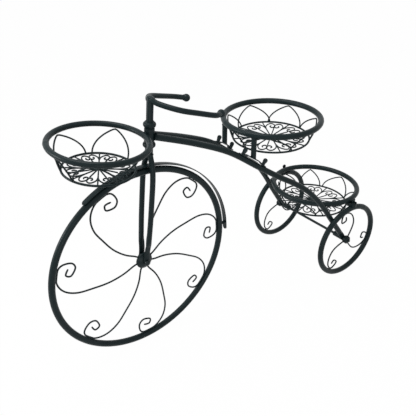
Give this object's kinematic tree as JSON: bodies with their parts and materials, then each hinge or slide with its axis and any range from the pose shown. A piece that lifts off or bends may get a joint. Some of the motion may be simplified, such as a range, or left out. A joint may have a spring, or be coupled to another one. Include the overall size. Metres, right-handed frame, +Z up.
{
  "type": "bicycle planter",
  "caption": "Tricycle-shaped wire plant stand with round scrolled baskets on a wishbone tube frame, a large front wheel that steers and small rear wheels.",
  "frame": {"origin": "on the floor, midway along the stand and on its centre plane", "axes": "+X towards the rear wheels, +Y to the right-hand side of a rider who faces the front wheel, +Z up"},
  "size_m": [0.8519, 0.2616, 0.5607],
  "materials": {
    "tube_paint": "satin black powder coat",
    "wheel_paint": "satin black powder coat",
    "basket_rim_paint": "satin black powder coat",
    "wire_paint": "satin black powder coat",
    "strip_paint": "satin black powder coat",
    "fastener_paint": "satin black powder coat"
  },
  "bodies": {
    "frame": {"head_tube": "tube_paint", "left_rail": "tube_paint", "right_rail": "tube_paint", "front_basket_rim": "basket_rim_paint", "front_basket_cage": "wire_paint", "front_basket_grille": "wire_paint", "middle_basket_rim": "basket_rim_paint", "middle_basket_cage": "wire_paint", "middle_basket_grille": "wire_paint", "rear_basket_rim": "basket_rim_paint", "rear_basket_cage": "wire_paint", "rear_basket_grille": "wire_paint", "left_post": "tube_paint", "left_post_strip": "strip_paint", "left_basket_tab": "strip_paint", "left_axle_sleeve": "tube_paint", "left_wheel_ring": "wheel_paint", "left_wheel_hub": "wheel_paint", "left_wheel_spoke_1": "wheel_paint", "left_wheel_spoke_2": "wheel_paint", "left_wheel_spoke_3": "wheel_paint", "right_post": "tube_paint", "right_post_strip": "strip_paint", "right_basket_tab": "strip_paint", "right_axle_sleeve": "tube_paint", "right_wheel_ring": "wheel_paint", "right_wheel_hub": "wheel_paint", "right_wheel_spoke_1": "wheel_paint", "right_wheel_spoke_2": "wheel_paint", "right_wheel_spoke_3": "wheel_paint", "rear_axle": "tube_paint"},
    "steering": {"stem": "tube_paint", "handlebar": "tube_paint", "left_grip_ball": "tube_paint", "right_grip_ball": "tube_paint", "upper_collar": "tube_paint", "lower_collar": "tube_paint", "fork_neck": "tube_paint", "left_fork_blade": "tube_paint", "right_fork_blade": "tube_paint", "front_axle_bolt": "fastener_paint", "front_axle_nut": "fastener_paint", "front_hub": "wheel_paint", "front_ring": "wheel_paint", "front_spoke_1": "wheel_paint", "front_spoke_2": "wheel_paint", "front_spoke_3": "wheel_paint", "front_spoke_4": "wheel_paint", "front_spoke_5": "wheel_paint", "front_spoke_6": "wheel_paint", "front_spoke_7": "wheel_paint", "fender": "strip_paint", "fender_tab_front": "strip_paint", "fender_tab_rear": "strip_paint"},
    "left_post_screw_front": {"left_post_screw_front": "fastener_paint"},
    "left_post_screw_rear": {"left_post_screw_rear": "fastener_paint"},
    "left_tab_screw": {"left_tab_screw": "fastener_paint"},
    "right_post_screw_front": {"right_post_screw_front": "fastener_paint"},
    "right_post_screw_rear": {"right_post_screw_rear": "fastener_paint"},
    "right_tab_screw": {"right_tab_screw": "fastener_paint"}
  },
  "joints": [
    {"name": "steering_turn", "type": "hinge", "parent": "frame", "child": "steering", "pos_m": [-0.2086, 0, 0.21067], "axis": [0.0951, 0, 0.9955], "range_deg": [-45, 45]},
    {"name": "left_post_screw_front_turn", "type": "hinge", "parent": "frame", "child": "left_post_screw_front", "pos_m": [0.01744, -0.04118, 0.40146], "axis": [0.5459, -0.1442, 0.8253], "continuous": true},
    {"name": "left_post_screw_rear_turn", "type": "hinge", "parent": "frame", "child": "left_post_screw_rear", "pos_m": [0.06532, -0.05382, 0.36758], "axis": [0.5459, -0.1442, 0.8253], "continuous": true},
    {"name": "left_tab_screw_turn", "type": "hinge", "parent": "frame", "child": "left_tab_screw", "pos_m": [0.32013, -0.1198, 0.20471], "axis": [0, 0, 1], "continuous": true},
    {"name": "right_post_screw_front_turn", "type": "hinge", "parent": "frame", "child": "right_post_screw_front", "pos_m": [0.01744, 0.04118, 0.40146], "axis": [0.5459, 0.1442, 0.8253], "continuous": true},
    {"name": "right_post_screw_rear_turn", "type": "hinge", "parent": "frame", "child": "right_post_screw_rear", "pos_m": [0.06532, 0.05382, 0.36758], "axis": [0.5459, 0.1442, 0.8253], "continuous": true},
    {"name": "right_tab_screw_turn", "type": "hinge", "parent": "frame", "child": "right_tab_screw", "pos_m": [0.32013, 0.1198, 0.20471], "axis": [0, 0, 1], "continuous": true}
  ]
}
